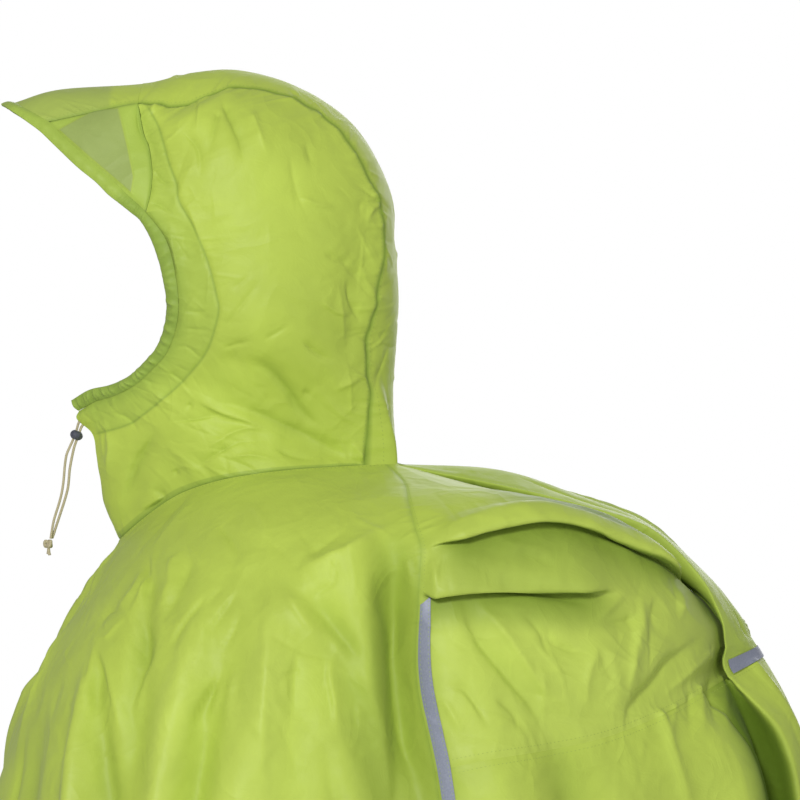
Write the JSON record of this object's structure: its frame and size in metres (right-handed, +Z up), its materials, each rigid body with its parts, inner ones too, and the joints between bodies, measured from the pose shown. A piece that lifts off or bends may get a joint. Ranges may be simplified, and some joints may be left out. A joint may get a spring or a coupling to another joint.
{
  "type": "rain poncho",
  "caption": "Hooded rain poncho worn over a rucksack, with a stiffened brim, a drawcord with cord lock, a pleated back and reflective tapes.",
  "frame": {"origin": "the middle of the neck opening, level with the back neck seam, where the wearer's neck and shoulders carry the garment", "axes": "+Z is up, the front faces -Y, and +X is the wearer's left"},
  "size_m": [0.7399, 0.7598, 1.3375],
  "materials": {
    "lime_nylon": "thin coated nylon, softly glossy and slightly translucent, lime green",
    "reflective_tape": "grey retroreflective tape, smooth with a soft sheen",
    "cream_cord": "thin braided cord, cream, matt",
    "slate_plastic": "moulded plastic, dark slate, satin"
  },
  "bodies": {
    "root": {"front_panel": "lime_nylon", "back_side_left": "lime_nylon", "back_side_right": "lime_nylon", "back_centre": "lime_nylon", "back_lower": "lime_nylon", "hood_side_left": "lime_nylon", "hood_side_right": "lime_nylon", "hood_centre": "lime_nylon", "brim_centre": "lime_nylon", "brim_side_left": "lime_nylon", "brim_side_right": "lime_nylon", "drawcord_tunnel": "lime_nylon", "tape_left": "reflective_tape", "tape_right": "reflective_tape", "tape_back": "reflective_tape", "drawcord_left": "cream_cord", "drawcord_right": "cream_cord", "cord_knot": "cream_cord", "cord_lock": "slate_plastic"}
  },
  "joints": []
}
